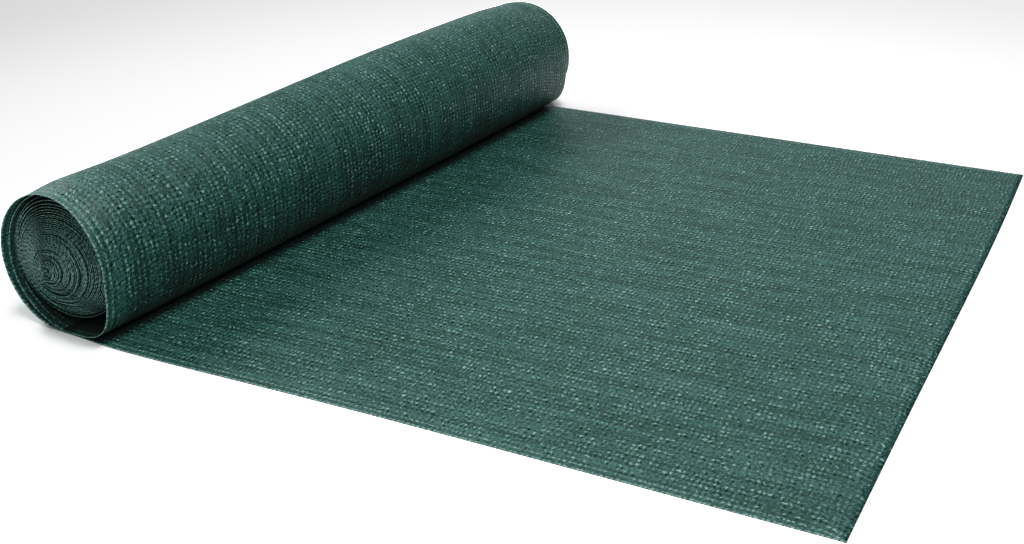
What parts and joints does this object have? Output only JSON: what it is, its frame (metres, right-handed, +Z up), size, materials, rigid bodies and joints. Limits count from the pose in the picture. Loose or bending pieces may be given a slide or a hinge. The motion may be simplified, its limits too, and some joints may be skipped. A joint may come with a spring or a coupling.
{
  "type": "partly unrolled roll of shade netting",
  "caption": "Length of knitted shade netting wound into a roll without a core, with its loose end unrolled flat from under the roll.",
  "frame": {"origin": "middle of the footprint, on the surface that the net lies on", "axes": "+X from the roll to the cut end of the loose cloth, +Y along the roll from its near end to its far end, +Z up"},
  "size_m": [0.9132, 1.0244, 0.1694],
  "materials": {
    "knitted_net": "dark green polyethylene net, warp knitted from flat tapes and thin threads, satin sheen on the stitches"
  },
  "bodies": {
    "root": {"shade_net": "knitted_net"}
  },
  "joints": []
}
